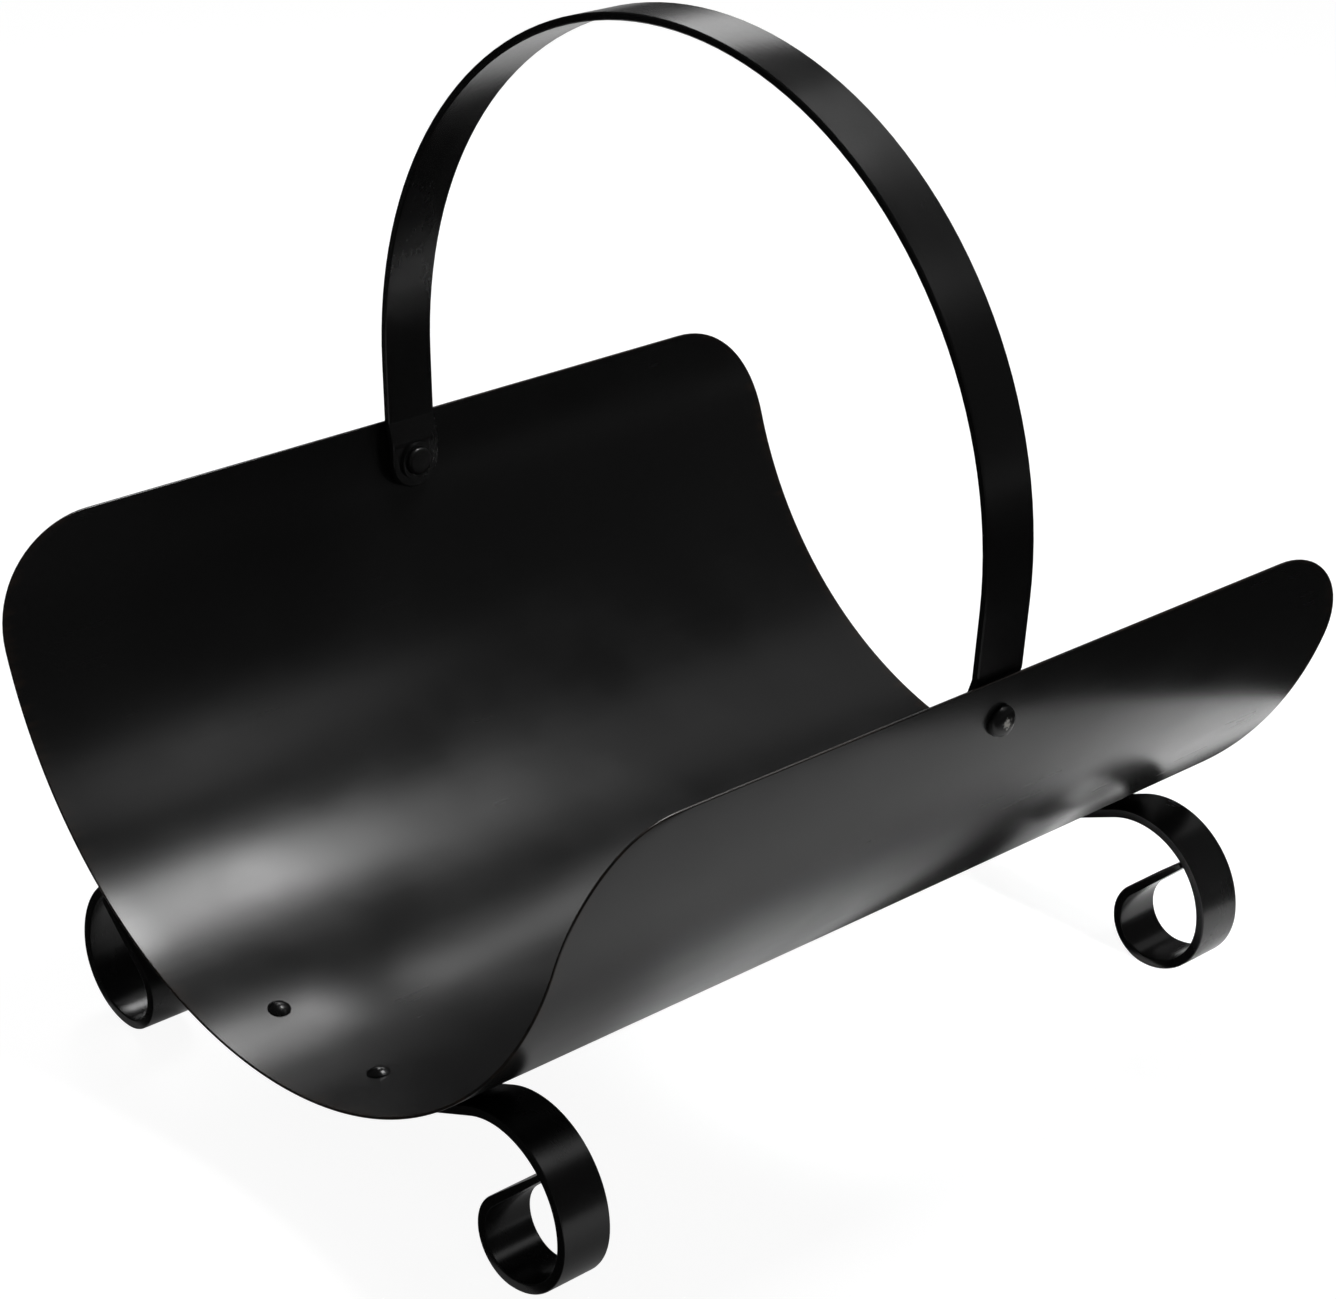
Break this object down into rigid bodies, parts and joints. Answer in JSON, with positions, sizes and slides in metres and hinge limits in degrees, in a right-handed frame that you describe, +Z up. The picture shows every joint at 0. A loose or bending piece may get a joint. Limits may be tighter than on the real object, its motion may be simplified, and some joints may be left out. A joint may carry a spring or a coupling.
{
  "type": "log holder",
  "caption": "Half-round sheet-steel tray on scrolled flat-bar feet, with an arched flat-bar handle that swings on rivets, for carrying and stacking firewood.",
  "frame": {"origin": "on the floor, under the middle of the tray", "axes": "+Z up, +X along the tray and its logs, +Y across the tray, in the plane of the upright handle"},
  "size_m": [0.508, 0.4274, 0.5032],
  "materials": {
    "tray_sheet": "satin black enamel on rolled sheet steel",
    "foot_bar": "satin black enamel on hot-rolled flat bar",
    "handle_bar": "satin black enamel on hot-rolled flat bar",
    "rivets": "satin black enamel on steel rivets and washers"
  },
  "bodies": {
    "holder": {"tray": "tray_sheet", "foot_left": "foot_bar", "foot_right": "foot_bar", "foot_rivets_front": "rivets", "foot_rivets_back": "rivets", "pivot_rivets": "rivets", "pivot_washers": "rivets", "pivot_spacers": "rivets"},
    "handle": {"handle": "handle_bar"}
  },
  "joints": [
    {"name": "handle_swing", "type": "hinge", "parent": "holder", "child": "handle", "pos_m": [0, 0, 0.2281], "axis": [0, 1, 0], "range_deg": [-45, 45]}
  ]
}
